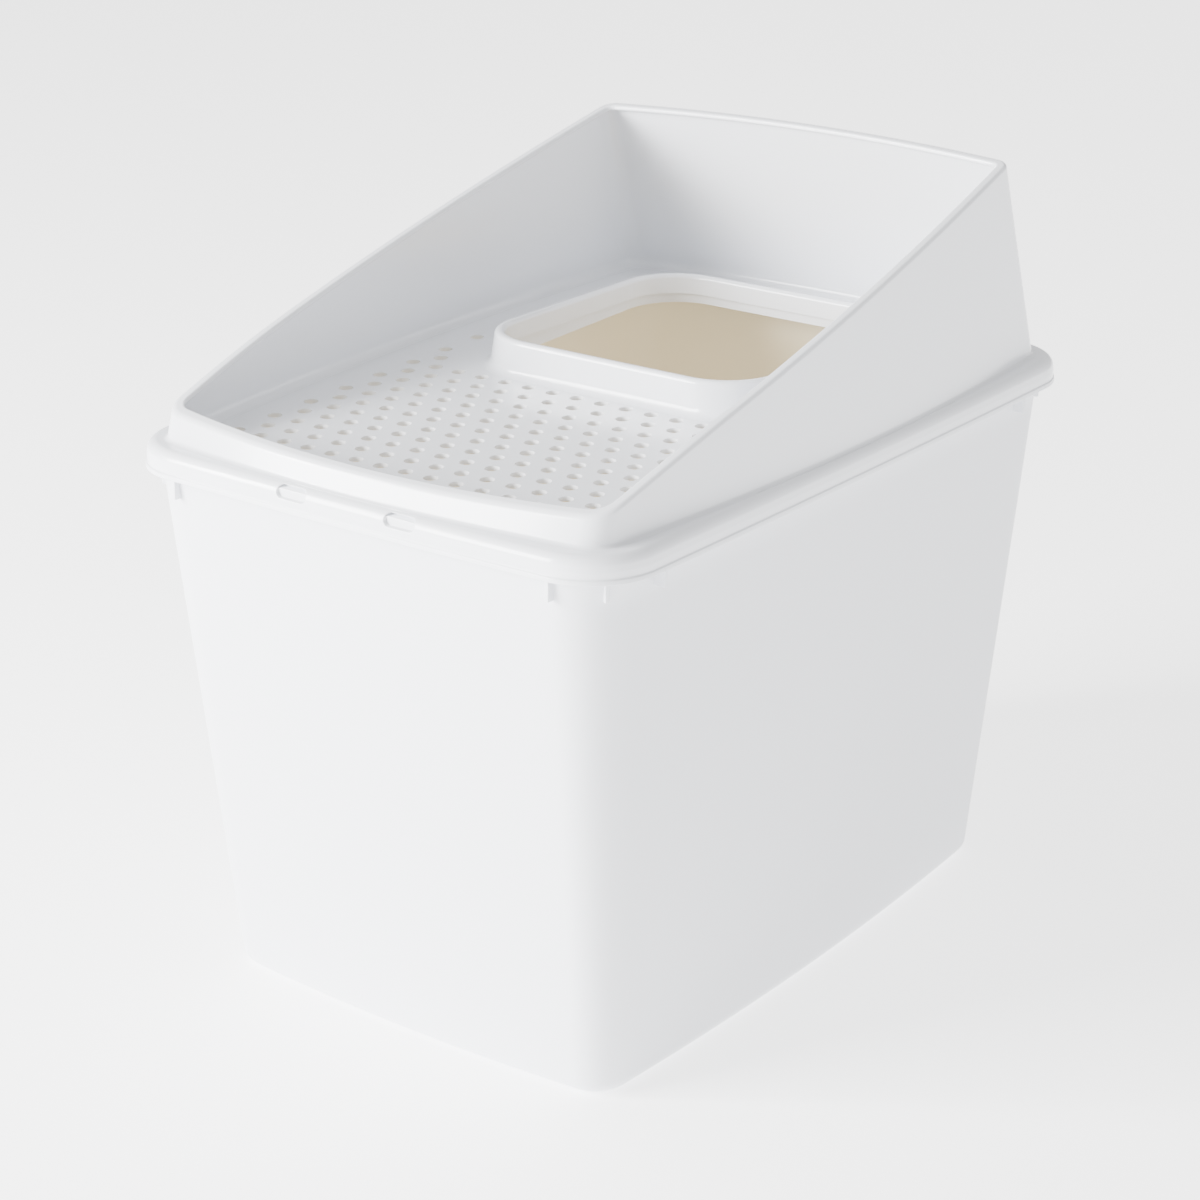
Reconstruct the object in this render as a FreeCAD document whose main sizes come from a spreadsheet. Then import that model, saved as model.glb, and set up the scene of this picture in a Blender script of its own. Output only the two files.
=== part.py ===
import FreeCAD, Part
import math
import os
import Sketcher

# Top-entry cat litter box, in millimetres. +X is to the object's right, -Y is its front, +Z is up, and the
# origin is on the floor under the middle of the skirt.
#
#   tub        deep outer tub: rim flange, fins under the rim, two hook lugs at the front
#   inner_bin  litter bin that hangs by its flange on the tub's rim
#   hood       skirt, ledge and leaning splash wall with a thick crest
#   deck       perforated step plate with the raised entry collar, set into the hood

SIZES = [
    # tub
    ("tub_height", 367.3, "floor to the top of the tub's rim"),
    ("tub_half_width", 182.3, "tub at the rim, middle of the side wall"),
    ("tub_half_depth", 272.6, "tub at the rim, middle of the front wall"),
    ("tub_top_corner", 36.4, "outer corner radius at the rim"),
    ("tub_foot_in_x", 16.4, "how far the side wall comes in from rim to floor"),
    ("tub_foot_in_y", 36.3, "how far the front wall comes in from rim to floor"),
    ("tub_foot_corner", 26.0, "outer corner radius at the floor"),
    ("foot_side_bow", 9.1, "bulge of the side wall at the floor"),
    ("foot_end_bow", 7.5, "bulge of the front wall at the floor"),
    ("rim_side_bow", 2.5, "bulge of the side wall at the rim"),
    ("rim_end_bow", 4.6, "bulge of the front wall at the rim"),
    ("tub_wall", 3.0, "wall and floor of the tub"),
    ("foot_round", 11.0, "rounding of the tub's bottom edge"),
    ("rim_plate", 2.4, "thickness of the tub's rim flange"),
    # fins and hook lugs on the tub
    ("fin_plate", 3.0, "thickness of a fin"),
    ("fin_drop", 14.4, "how far a fin shows below the skirt"),
    ("end_fin_inset", 35.3, "fin on the front wall, in from the side wall's middle"),
    ("end_fin_reach", -0.4, "outer end of that fin, out from the front wall's middle"),
    ("side_fin_inset", 61.0, "fin on the side wall, in from the front wall's middle"),
    ("side_fin_reach", 5.2, "outer end of that fin, out from the side wall's middle"),
    ("corner_fin_turn", 33.0, "fin in the corner, turn from the side, degrees"),
    ("corner_fin_reach", 2.5, "how far that fin stands off the corner"),
    ("lug_length", 21.0, "hook lug, along the front"),
    ("lug_plate", 2.2, "hook lug, thickness"),
    ("lug_rise", 5.3, "hook lug, height above the rim"),
    # inner bin
    ("bin_gap", 4.0, "tub wall to bin wall"),
    ("bin_wall", 2.5, "wall and floor of the bin"),
    ("bin_floor_gap", 5.0, "tub floor to bin floor"),
    ("bin_flange", 2.2, "thickness of the bin's flange"),
    ("bin_flange_side", 7.0, "reach of the bin's flange over the tub's side wall"),
    ("bin_flange_end", 1.4, "reach of the bin's flange over the tub's front wall"),
    ("bin_round", 9.0, "rounding of the bin's bottom edge"),
    ("seat_gap", 0.3, "clearance between pieces that rest on each other"),
    # hood skirt and ledge
    ("skirt_side", 13.4, "skirt's lower edge outside the tub's side wall"),
    ("skirt_end", 6.9, "skirt's lower edge outside the tub's front wall"),
    ("skirt_corner", 47.4, "skirt's corner radius"),
    ("skirt_drop", 7.9, "skirt's lower edge below the tub's rim"),
    ("skirt_flare", 2.2, "how far the skirt narrows up to the ledge"),
    ("skirt_wall", 3.0, "skirt and ledge thickness"),
    ("skirt_gap", 0.6, "tub's rim flange to the inside of the skirt"),
    ("ledge_rise", 6.6, "top of the ledge above the lid's seat"),
    ("shoulder", 6.0, "rounding between skirt and ledge"),
    ("slot_place", 42.5, "slot in the shoulder, from the middle"),
    ("slot_length", 23.0, "slot, along the front"),
    ("slot_height", 7.4, "slot, up"),
    ("slot_drop", 1.0, "top of the slot below the ledge's top"),
    ("slot_depth", 5.6, "how far in the slot is cut from the skirt's widest line"),
    # hood wall
    ("ledge_side", 8.5, "ledge width at the middle of the side"),
    ("ledge_end", 11.2, "ledge width at the middle of the front, mean of both ends"),
    ("wall_shift", -1.3, "wall's foot outline, shift in Y"),
    ("wall_foot_side_bow", 13.8, "bulge of the side wall at the ledge"),
    ("wall_foot_end_bow", 12.8, "bulge of the front wall at the ledge"),
    ("wall_foot_corner", 20.0, "corner radius at the ledge"),
    ("wall_top_side_bow", 7.6, "bulge of the side wall at the top"),
    ("wall_top_end_bow", 12.5, "bulge of the back wall at the top"),
    ("wall_top_corner", 12.0, "corner radius at the top"),
    ("side_lean", 0.081, "inward lean of the side walls, per unit of height"),
    ("front_lean", 0.293, "inward lean of the front lip"),
    ("back_lean", 0.321, "inward lean of the back wall"),
    ("hood_wall", 3.0, "splash wall thickness"),
    ("crest_width", 7.0, "width of the thick crest"),
    ("crest_depth", 4.0, "depth of the thick crest"),
    ("lip_rise", 14.0, "front lip's crest above the ledge"),
    ("crest_slope", 0.257, "rise of the long crest, per unit of depth"),
    ("fall_slope", 0.31, "rise of the crest near the front, per unit of depth"),
    ("fall_length", 97.5, "depth of the steeper front stretch"),
    ("crest_bend", 1600.0, "radius between the two slopes of the crest"),
    # deck, collar and holes
    ("deck_rise", 3.8, "deck's top above the ledge, at the middle of the box"),
    ("deck_slope", 0.027, "deck's fall to the front, per unit of depth"),
    ("deck_plate", 3.0, "deck thickness"),
    ("opening", 211.0, "entry opening, across"),
    ("opening_corner", 38.0, "entry opening, corner radius"),
    ("opening_back", 69.0, "entry opening to the inside of the back wall"),
    ("collar_rise", 23.5, "collar's top above the deck at the middle of the box"),
    ("collar_lip", 6.8, "collar's width at the top"),
    ("collar_foot", 7.5, "collar's width at the deck"),
    ("collar_foot_corner", 37.0, "outer corner radius of the collar at the deck"),
    ("collar_skin", 3.2, "depth of the step under the collar's lip"),
    ("collar_face", 14.0, "depth of the collar's inner face"),
    ("collar_fillet", 6.0, "fillet between collar and deck"),
    ("collar_round", 3.0, "rounding of the collar's top edges"),
    ("hole_size", 9.6, "hole diameter"),
    ("hole_pitch", 20.0, "distance between neighbouring holes"),
    ("hole_front", 39.8, "first row of holes to the inside of the front lip"),
    ("hole_side", 20.0, "outer holes to the inside of the side wall, at least"),
    ("hole_clear", 12.0, "last full row of holes to the collar's foot, at least"),
]

doc = FreeCAD.newDocument("litter_box")
sheet = doc.addObject("Spreadsheet::Sheet", "Dim")
for row, (alias, number, note) in enumerate(SIZES, start=1):
    sheet.set(f"A{row}", alias)
    sheet.set(f"B{row}", str(number))
    sheet.set(f"C{row}", note)
    sheet.setAlias(f"B{row}", alias)
doc.recompute()

# Levels and half sizes that several pieces share, as expressions over the sheet
SEAT = "(Dim.tub_height + Dim.bin_flange + 2 * Dim.seat_gap)"
LEDGE = f"({SEAT} + Dim.ledge_rise)"
SKIRT_FOOT = "(Dim.tub_height - Dim.skirt_drop)"
SKIRT_X = "(Dim.tub_half_width + Dim.skirt_side)"
SKIRT_Y = "(Dim.tub_half_depth + Dim.skirt_end)"
WALL_X = f"({SKIRT_X} - Dim.ledge_side)"
WALL_Y = f"({SKIRT_Y} - Dim.ledge_end)"
WALL_REACH = f"(Dim.lip_rise + 2 * {WALL_Y} * Dim.crest_slope)"
DECK_TOP = f"({LEDGE} + Dim.deck_rise)"
COLLAR_TOP = f"({DECK_TOP} + Dim.collar_rise)"
LIP_FRONT = f"({WALL_Y} - Dim.wall_shift - Dim.front_lean * Dim.lip_rise)"
BACK_INSIDE = f"({WALL_Y} + Dim.wall_shift - Dim.hood_wall)"
OPENING_Y = f"({BACK_INSIDE} - Dim.opening_back - Dim.opening / 2)"
FAR = "(4 * Dim.tub_half_depth)"


def value(expression):
    """Number that an expression over the sheet gives."""
    return float(sheet.evalExpression(expression))


def plane(body, role):
    """Origin plane or axis of a body."""
    return next(feature for feature in body.Origin.OriginFeatures if feature.Role == role)


def new_sketch(body, name, role, off_plane="0", shift="0"):
    """Empty sketch on an origin plane, moved off it and along its second axis."""
    sketch = body.newObject("Sketcher::SketchObject", name)
    sketch.AttachmentSupport = [(plane(body, role), "")]
    sketch.MapMode = "FlatFace"
    sketch.setExpression(".AttachmentOffset.Base.z", off_plane)
    sketch.setExpression(".AttachmentOffset.Base.y", shift)
    return sketch


def drive(sketch, kind, *where, by):
    """Dimension in a sketch, driven by an expression."""
    index = sketch.addConstraint(Sketcher.Constraint(kind, *where, value(by)))
    sketch.setExpression(f"Constraints[{index}]", by)


def bowed_outline(body, name, level, half, bow, corner, shift="0"):
    """Closed outline of eight arcs: four bulging sides, joined by four round corners.

    half and bow are pairs of expressions, in X and Y. A side that bulges by b over a half chord c has the
    radius (c^2 + b^2) / (2 b). Each corner arc touches its two sides from inside.
    """
    sketch = new_sketch(body, name, "XY_Plane", level, shift)
    chord = [f"({half[1]} - {bow[1]})", f"({half[0]} - {bow[0]})"]
    radius = [f"(({chord[axis]})^2 + ({bow[axis]})^2) / (2 * ({bow[axis]}))" for axis in (0, 1)]
    back = [f"({radius[axis]} - {half[axis]})" for axis in (0, 1)]
    side_radius, end_radius = value(radius[0]), value(radius[1])
    side_back, end_back = value(back[0]), value(back[1])
    corner_radius = value(corner)

    # corner centre: as far inside each side's arc as its own radius, found on the line of the two centres
    near, far = side_radius - corner_radius, end_radius - corner_radius
    span = math.hypot(side_back, end_back)
    along = (near ** 2 - far ** 2 + span ** 2) / (2 * span)
    across = math.sqrt(near ** 2 - along ** 2)
    unit_x, unit_y = side_back / span, -end_back / span
    corner_x = -side_back + along * unit_x - across * unit_y
    corner_y = along * unit_y + across * unit_x
    side_turn = math.atan2(corner_y, corner_x + side_back)
    end_turn = math.atan2(corner_y + end_back, corner_x)

    half_turn = math.pi / 2
    arcs = []
    for quarter in range(4):
        start = quarter * half_turn
        if quarter % 2 == 0:
            turn, radius_here, distance = side_turn, side_radius, side_back
            centre = (corner_x, corner_y)
            corner_from, corner_to = side_turn, end_turn
        else:
            turn, radius_here, distance = half_turn - end_turn, end_radius, end_back
            centre = (corner_y, corner_x)
            corner_from, corner_to = half_turn - end_turn, half_turn - side_turn
        cosine, sine = round(math.cos(start)), round(math.sin(start))
        arcs.append(((-distance * cosine, -distance * sine), radius_here, start - turn, start + turn))
        turned = (centre[0] * cosine - centre[1] * sine, centre[0] * sine + centre[1] * cosine)
        arcs.append((turned, corner_radius, start + corner_from, start + corner_to))
    for (x, y), arc_radius, first, last in arcs:
        circle = Part.Circle(FreeCAD.Vector(x, y, 0), FreeCAD.Vector(0, 0, 1), arc_radius)
        sketch.addGeometry(Part.ArcOfCircle(circle, first, last), False)

    for arc in range(8):
        sketch.addConstraint(Sketcher.Constraint("Tangent", arc, 2, (arc + 1) % 8, 1))
    sketch.addConstraint(Sketcher.Constraint("PointOnObject", 0, 3, -1))
    sketch.addConstraint(Sketcher.Constraint("PointOnObject", 2, 3, -2))
    sketch.addConstraint(Sketcher.Constraint("Symmetric", 0, 3, 4, 3, -1, 1))
    sketch.addConstraint(Sketcher.Constraint("Symmetric", 2, 3, 6, 3, -1, 1))
    for arc, twin in ((0, 4), (2, 6), (1, 3), (1, 5), (1, 7)):
        sketch.addConstraint(Sketcher.Constraint("Equal", arc, twin))
    drive(sketch, "DistanceX", 0, 3, -1, 1, by=back[0])
    drive(sketch, "DistanceY", 2, 3, -1, 1, by=back[1])
    drive(sketch, "Radius", 0, by=radius[0])
    drive(sketch, "Radius", 2, by=radius[1])
    drive(sketch, "Radius", 1, by=corner)
    return sketch


def rounded_square(body, name, level, side, corner, shift):
    """Square outline with round corners, centred on X = 0 and on the shift in Y."""
    sketch = new_sketch(body, name, "XY_Plane", level, shift)
    half, radius = value(side) / 2, value(corner)
    flat = half - radius
    for quarter in range(4):
        start = quarter * math.pi / 2
        turn = FreeCAD.Rotation(FreeCAD.Vector(0, 0, 1), 90 * quarter)
        low = turn.multVec(FreeCAD.Vector(half, -flat, 0))
        high = turn.multVec(FreeCAD.Vector(half, flat, 0))
        centre = turn.multVec(FreeCAD.Vector(flat, flat, 0))
        circle = Part.Circle(centre, FreeCAD.Vector(0, 0, 1), radius)
        sketch.addGeometry(Part.LineSegment(low, high), False)
        sketch.addGeometry(Part.ArcOfCircle(circle, start, start + math.pi / 2), False)
    for edge in range(8):
        sketch.addConstraint(Sketcher.Constraint("Tangent", edge, 2, (edge + 1) % 8, 1))
    sketch.addConstraint(Sketcher.Constraint("Vertical", 0))
    for arc in (3, 5, 7):
        sketch.addConstraint(Sketcher.Constraint("Equal", 1, arc))
    sketch.addConstraint(Sketcher.Constraint("Symmetric", 1, 3, 5, 3, -1, 1))
    drive(sketch, "Radius", 1, by=corner)
    drive(sketch, "DistanceX", -1, 1, 0, 1, by=f"{side} / 2")
    drive(sketch, "DistanceY", -1, 1, 2, 1, by=f"{side} / 2")
    return sketch


def rectangle(body, name, role, off_plane, low, high):
    """Rectangle between two corners, each a pair of expressions."""
    sketch = new_sketch(body, name, role, off_plane)
    left, bottom, right, top = value(low[0]), value(low[1]), value(high[0]), value(high[1])
    corners = [FreeCAD.Vector(x, y, 0) for x, y in ((left, bottom), (right, bottom), (right, top), (left, top))]
    for index in range(4):
        sketch.addGeometry(Part.LineSegment(corners[index], corners[(index + 1) % 4]), False)
    for index in range(4):
        sketch.addConstraint(Sketcher.Constraint("Coincident", index, 2, (index + 1) % 4, 1))
        sketch.addConstraint(Sketcher.Constraint("Horizontal" if index % 2 == 0 else "Vertical", index))
    drive(sketch, "DistanceX", -1, 1, 0, 1, by=low[0])
    drive(sketch, "DistanceY", -1, 1, 0, 1, by=low[1])
    drive(sketch, "DistanceX", -1, 1, 2, 1, by=high[0])
    drive(sketch, "DistanceY", -1, 1, 2, 1, by=high[1])
    return sketch


def feature(body, kind, name, sketch):
    """Feature made from a sketch."""
    made = body.newObject(f"PartDesign::{kind}", name)
    made.Profile = sketch
    sketch.Visibility = False
    return made


def settle(made, grows):
    """Recompute, and check that the feature added or removed material as it should."""
    doc.recompute()
    before = made.BaseFeature.Shape.Volume if made.BaseFeature else 0.0
    change = made.Shape.Volume - before
    if (change > 0) != grows or abs(change) < 1.0:
        raise RuntimeError(f"{made.Name} changed the volume by {change:.1f}")
    return made


def loft(body, name, sections, grows=True):
    """Straight loft through outlines."""
    made = feature(body, "AdditiveLoft" if grows else "SubtractiveLoft", name, sections[0])
    made.Sections = sections[1:]
    made.Ruled = True
    return settle(made, grows)


def pad(body, name, sketch, length):
    """Pad up from a sketch."""
    made = feature(body, "Pad", name, sketch)
    made.setExpression("Length", length)
    return settle(made, True)


def pocket(body, name, sketch, length):
    """Cut half of the length to each side of a sketch."""
    made = feature(body, "Pocket", name, sketch)
    made.Midplane = True
    made.setExpression("Length", length)
    return settle(made, False)


def edges_at(shape, keep):
    """Names of the edges whose middle the test keeps."""
    names = []
    for number, edge in enumerate(shape.Edges, start=1):
        middle = edge.valueAt((edge.FirstParameter + edge.LastParameter) / 2)
        if keep(middle):
            names.append(f"Edge{number}")
    return names


def fillet(body, name, base, radius, keep, grows=False):
    """Round the edges of the last feature that the test keeps."""
    made = body.newObject("PartDesign::Fillet", name)
    made.Base = (base, edges_at(base.Shape, keep))
    made.setExpression("Radius", radius)
    return settle(made, grows)


def new_body(name):
    """Empty body with its own label."""
    body = doc.addObject("PartDesign::Body", name)
    body.Label = name
    return body


# ---- tub and bin outlines ------------------------------------------------------------------------------


def tub_outline(body, name, level, inset):
    """Tub's outline at a level, in by an inset: it narrows evenly from the rim to the floor."""
    down = f"(1 - ({level}) / Dim.tub_height)"
    half = (f"(Dim.tub_half_width - Dim.tub_foot_in_x * {down} - {inset})",
            f"(Dim.tub_half_depth - Dim.tub_foot_in_y * {down} - {inset})")
    bow = (f"(Dim.rim_side_bow + (Dim.foot_side_bow - Dim.rim_side_bow) * {down})",
           f"(Dim.rim_end_bow + (Dim.foot_end_bow - Dim.rim_end_bow) * {down})")
    corner = f"(Dim.tub_top_corner + (Dim.tub_foot_corner - Dim.tub_top_corner) * {down} - {inset})"
    return bowed_outline(body, name, level, half, bow, corner)


def rim_outline(body, name, level, reach_x, reach_y):
    """Outline of a flange round the rim, out from the tub's walls by two reaches."""
    half = (f"(Dim.tub_half_width + {reach_x})", f"(Dim.tub_half_depth + {reach_y})")
    corner = f"(Dim.tub_top_corner + ({reach_x} + {reach_y}) / 2)"
    return bowed_outline(body, name, level, half, ("Dim.rim_side_bow", "Dim.rim_end_bow"), corner)


def round_edge(radius):
    """Steps round a quarter circle of an edge: distance from the flat face, and inset from the wall."""
    steps = []
    for turn in (0, 30, 60, 90):
        angle = math.radians(turn)
        steps.append((f"({radius}) * {1 - math.cos(angle):.6f}", f"({radius}) * {1 - math.sin(angle):.6f}"))
    return steps


def tray_sections(body, name, floor, top, inset, radius):
    """Sections of a tray from its floor, round the bottom edge, up to its top."""
    sections = []
    for number, (rise, narrow) in enumerate(round_edge(radius)):
        sections.append(tub_outline(body, f"{name}_round_{number}", f"{floor} + {rise}", f"({inset} + {narrow})"))
    sections.append(tub_outline(body, f"{name}_top", top, inset))
    return sections


# ---- tub -----------------------------------------------------------------------------------------------

RIM_FLARE = f"(Dim.skirt_flare * Dim.skirt_drop / ({LEDGE} - {SKIRT_FOOT}))"
RIM_SIDE = f"(Dim.skirt_side - {RIM_FLARE} - Dim.skirt_wall - Dim.skirt_gap)"
RIM_END = f"(Dim.skirt_end - {RIM_FLARE} - Dim.skirt_wall - Dim.skirt_gap)"
FIN_FOOT = f"({SKIRT_FOOT} - Dim.fin_drop)"
FIN_HEIGHT = f"(Dim.tub_height - Dim.rim_plate - {FIN_FOOT})"


def add_fins(body):
    """Three fins at one corner: on the front wall, in the corner and on the side wall."""
    end_x = "(Dim.tub_half_width - Dim.end_fin_inset)"
    end_fin = rectangle(
        body, "end_fin_outline", "XY_Plane", FIN_FOOT,
        (f"{end_x} - Dim.fin_plate / 2", "-(Dim.tub_half_depth + Dim.end_fin_reach)"),
        (f"{end_x} + Dim.fin_plate / 2", "-(Dim.tub_half_depth - Dim.rim_end_bow - Dim.tub_wall)"))
    side_y = "-(Dim.tub_half_depth - Dim.side_fin_inset)"
    side_fin = rectangle(
        body, "side_fin_outline", "XY_Plane", FIN_FOOT,
        ("Dim.tub_half_width - Dim.rim_side_bow - Dim.tub_wall / 2", f"{side_y} - Dim.fin_plate / 2"),
        ("Dim.tub_half_width + Dim.side_fin_reach", f"{side_y} + Dim.fin_plate / 2"))
    corner_fin = rectangle(
        body, "corner_fin_outline", "XY_Plane", FIN_FOOT,
        ("Dim.tub_top_corner - Dim.tub_wall / 2", "-Dim.fin_plate / 2"),
        ("Dim.tub_top_corner + Dim.corner_fin_reach", "Dim.fin_plate / 2"))
    corner_fin.setExpression(".AttachmentOffset.Base.x",
                             "Dim.tub_half_width - Dim.rim_side_bow - Dim.tub_top_corner")
    corner_fin.setExpression(".AttachmentOffset.Base.y",
                             "-(Dim.tub_half_depth - Dim.rim_end_bow - Dim.tub_top_corner)")
    corner_fin.setExpression(".AttachmentOffset.Rotation.Angle", "-Dim.corner_fin_turn")
    return [pad(body, name, sketch, FIN_HEIGHT)
            for name, sketch in (("end_fin", end_fin), ("corner_fin", corner_fin), ("side_fin", side_fin))]


def mirror(body, name, originals, roles):
    """Repeat features across one or two origin planes."""
    made = body.newObject("PartDesign::MultiTransform", name)
    made.Originals = originals
    steps = []
    for role in roles:
        step = body.newObject("PartDesign::Mirrored", f"{name}_{role}")
        step.MirrorPlane = (plane(body, role), [""])
        steps.append(step)
    made.Transformations = steps
    body.Tip = made
    return settle(made, True)


def make_tub():
    """Outer tub: tapered wall with a round bottom edge, rim flange, twelve fins and two lugs."""
    body = new_body("tub")
    loft(body, "tub_walls", tray_sections(body, "tub", "0", "Dim.tub_height", "0", "Dim.foot_round"))
    flange = rim_outline(body, "rim_outline", "Dim.tub_height - Dim.rim_plate", RIM_SIDE, RIM_END)
    pad(body, "rim", flange, "Dim.rim_plate")
    fins = add_fins(body)
    mirror(body, "fins", fins, ("XZ_Plane", "YZ_Plane"))
    lug = rectangle(
        body, "lug_outline", "XY_Plane", "Dim.tub_height - Dim.rim_plate",
        ("Dim.slot_place - Dim.lug_length / 2", f"-(Dim.tub_half_depth + {RIM_END} - Dim.seat_gap)"),
        ("Dim.slot_place + Dim.lug_length / 2",
         f"-(Dim.tub_half_depth + {RIM_END} - Dim.seat_gap - Dim.lug_plate)"))
    mirror(body, "lugs", [pad(body, "lug", lug, "Dim.rim_plate + Dim.lug_rise")], ("YZ_Plane",))
    hollow = tray_sections(body, "hollow", "Dim.tub_wall", "Dim.tub_height + Dim.tub_wall", "Dim.tub_wall",
                           "Dim.foot_round - Dim.tub_wall")
    return loft(body, "tub_hollow", hollow, grows=False)


# ---- inner bin -----------------------------------------------------------------------------------------

BIN_INSET = "(Dim.tub_wall + Dim.bin_gap)"
BIN_FLOOR = "(Dim.tub_wall + Dim.bin_floor_gap)"
BIN_TOP = "(Dim.tub_height + Dim.seat_gap + Dim.bin_flange)"


def make_bin():
    """Litter bin: follows the inside of the tub, and hangs by a flange on the tub's rim."""
    body = new_body("inner_bin")
    loft(body, "bin_walls", tray_sections(body, "bin", BIN_FLOOR, BIN_TOP, BIN_INSET, "Dim.bin_round"))
    flange = rim_outline(body, "bin_flange_outline", f"{BIN_TOP} - Dim.bin_flange",
                         "(Dim.bin_flange_side - Dim.tub_wall)", "(Dim.bin_flange_end - Dim.tub_wall)")
    pad(body, "bin_flange_plate", flange, "Dim.bin_flange")
    hollow = tray_sections(body, "bin_hollow", f"{BIN_FLOOR} + Dim.bin_wall", f"{BIN_TOP} + Dim.bin_wall",
                           f"({BIN_INSET} + Dim.bin_wall)", "Dim.bin_round - Dim.bin_wall")
    return loft(body, "bin_hollow", hollow, grows=False)


# ---- hood ----------------------------------------------------------------------------------------------


def skirt_outline(body, name, level, inset):
    """Skirt's outline at a level: it narrows by the flare up to the ledge."""
    narrow = f"(Dim.skirt_flare * (({level}) - {SKIRT_FOOT}) / ({LEDGE} - {SKIRT_FOOT}) + {inset})"
    half = (f"({SKIRT_X} - {narrow})", f"({SKIRT_Y} - {narrow})")
    corner = f"(Dim.skirt_corner - {narrow})"
    return bowed_outline(body, name, level, half, ("Dim.rim_side_bow", "Dim.rim_end_bow"), corner)


def wall_outline(body, name, up, inset):
    """Splash wall's outline at a height above the ledge, in by an inset: all four sides lean inwards."""
    share = f"(({up}) / {WALL_REACH})"
    half = (f"({WALL_X} - Dim.side_lean * ({up}) - {inset})",
            f"({WALL_Y} - (Dim.front_lean + Dim.back_lean) / 2 * ({up}) - {inset})")
    bow = (f"(Dim.wall_foot_side_bow + (Dim.wall_top_side_bow - Dim.wall_foot_side_bow) * {share})",
           f"(Dim.wall_foot_end_bow + (Dim.wall_top_end_bow - Dim.wall_foot_end_bow) * {share})")
    corner = f"(Dim.wall_foot_corner + (Dim.wall_top_corner - Dim.wall_foot_corner) * {share} - {inset})"
    shift = f"(Dim.wall_shift + (Dim.front_lean - Dim.back_lean) / 2 * ({up}))"
    return bowed_outline(body, name, f"({LEDGE} + ({up}))", half, bow, corner, shift)


def wall_loft(body, name, inset, below="0", grows=True):
    """Loft of the splash wall's outline, from below the lid's seat to above the crest."""
    foot = wall_outline(body, f"{name}_foot", f"-(Dim.ledge_rise + {below})", inset)
    top = wall_outline(body, f"{name}_top", WALL_REACH, inset)
    return loft(body, name, [foot, top], grows)


def cut_above_crest(body, name, drop):
    """Cut away what is above the crest line, or above a line that lies lower by the drop.

    The line rises from the front lip at the fall slope, then at the crest slope, with a large arc between.
    """
    sketch = new_sketch(body, name + "_outline", "YZ_Plane")
    lip_z = f"({LEDGE} + Dim.lip_rise - {drop})"
    bend_y = f"(Dim.fall_length - {LIP_FRONT})"
    bend_z = f"({lip_z} + Dim.fall_slope * Dim.fall_length)"
    front = (f"-{FAR}", f"({bend_z} - Dim.fall_slope * ({FAR} + {bend_y}))")
    back = (FAR, f"({bend_z} + Dim.crest_slope * ({FAR} - {bend_y}))")
    top = f"({LEDGE} + {FAR})"
    fall, rise = math.atan(value("Dim.fall_slope")), math.atan(value("Dim.crest_slope"))
    radius = value("Dim.crest_bend")
    trim = radius * math.tan((fall - rise) / 2)
    bend = FreeCAD.Vector(value(bend_y), value(bend_z), 0)
    first = bend - FreeCAD.Vector(math.cos(fall), math.sin(fall), 0) * trim
    last = bend + FreeCAD.Vector(math.cos(rise), math.sin(rise), 0) * trim
    centre = first + FreeCAD.Vector(math.sin(fall), -math.cos(fall), 0) * radius
    front_low = FreeCAD.Vector(value(front[0]), value(front[1]), 0)
    back_low = FreeCAD.Vector(value(back[0]), value(back[1]), 0)
    front_high = FreeCAD.Vector(front_low.x, value(top), 0)
    back_high = FreeCAD.Vector(back_low.x, value(top), 0)
    sketch.addGeometry(Part.LineSegment(front_low, first), False)
    circle = Part.Circle(centre, FreeCAD.Vector(0, 0, 1), radius)
    sketch.addGeometry(Part.ArcOfCircle(circle, math.pi / 2 + rise, math.pi / 2 + fall), False)
    sketch.addGeometry(Part.LineSegment(last, back_low), False)
    sketch.addGeometry(Part.LineSegment(back_low, back_high), False)
    sketch.addGeometry(Part.LineSegment(back_high, front_high), False)
    sketch.addGeometry(Part.LineSegment(front_high, front_low), False)
    sketch.addGeometry(Part.Point(bend), True)
    sketch.addConstraint(Sketcher.Constraint("Tangent", 0, 2, 1, 2))
    sketch.addConstraint(Sketcher.Constraint("Tangent", 1, 1, 2, 1))
    for edge in (2, 3, 4):
        sketch.addConstraint(Sketcher.Constraint("Coincident", edge, 2, edge + 1, 1))
    sketch.addConstraint(Sketcher.Constraint("Coincident", 5, 2, 0, 1))
    sketch.addConstraint(Sketcher.Constraint("Vertical", 3))
    sketch.addConstraint(Sketcher.Constraint("Horizontal", 4))
    sketch.addConstraint(Sketcher.Constraint("Vertical", 5))
    sketch.addConstraint(Sketcher.Constraint("PointOnObject", 6, 1, 0))
    sketch.addConstraint(Sketcher.Constraint("PointOnObject", 6, 1, 2))
    drive(sketch, "DistanceX", -1, 1, 6, 1, by=bend_y)
    drive(sketch, "DistanceY", -1, 1, 6, 1, by=bend_z)
    drive(sketch, "DistanceX", -1, 1, 0, 1, by=front[0])
    drive(sketch, "DistanceY", -1, 1, 0, 1, by=front[1])
    drive(sketch, "DistanceX", -1, 1, 2, 2, by=back[0])
    drive(sketch, "DistanceY", -1, 1, 2, 2, by=back[1])
    drive(sketch, "DistanceY", -1, 1, 3, 2, by=top)
    drive(sketch, "Radius", 1, by="Dim.crest_bend")
    return pocket(body, name, sketch, FAR)


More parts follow.
